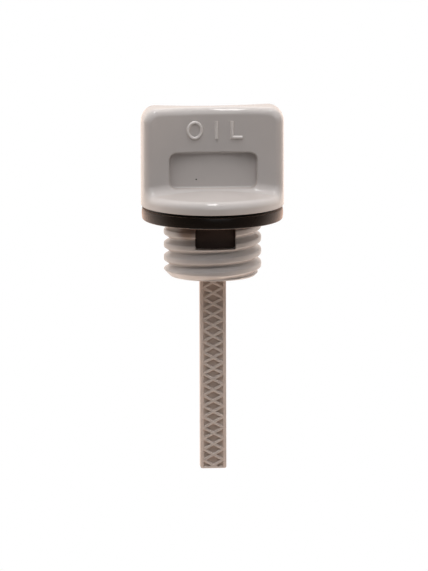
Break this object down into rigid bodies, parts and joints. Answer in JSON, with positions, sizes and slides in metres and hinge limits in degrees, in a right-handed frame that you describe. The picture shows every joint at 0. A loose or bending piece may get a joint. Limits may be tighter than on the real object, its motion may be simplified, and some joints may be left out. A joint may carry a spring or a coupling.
{
  "type": "dipstick cap",
  "caption": "Screw-in oil filler cap with a paddle handle, a round flange, a threaded neck, a rubber gasket and a flat cross-hatched dipstick blade.",
  "frame": {"origin": "on the thread's axis, in the plane of the gasket's underside, where the cap seals on a filler neck", "axes": "+Z along the thread's axis towards the handle, +X along the handle's width, -Y out of the handle's front face"},
  "size_m": [0.0294, 0.0294, 0.0752],
  "materials": {
    "grey_polyamide": "smooth moulded light grey polyamide, softly glossy",
    "black_rubber": "matt black moulded rubber"
  },
  "bodies": {
    "root": {"cap_body": "grey_polyamide", "gasket": "black_rubber"}
  },
  "joints": []
}
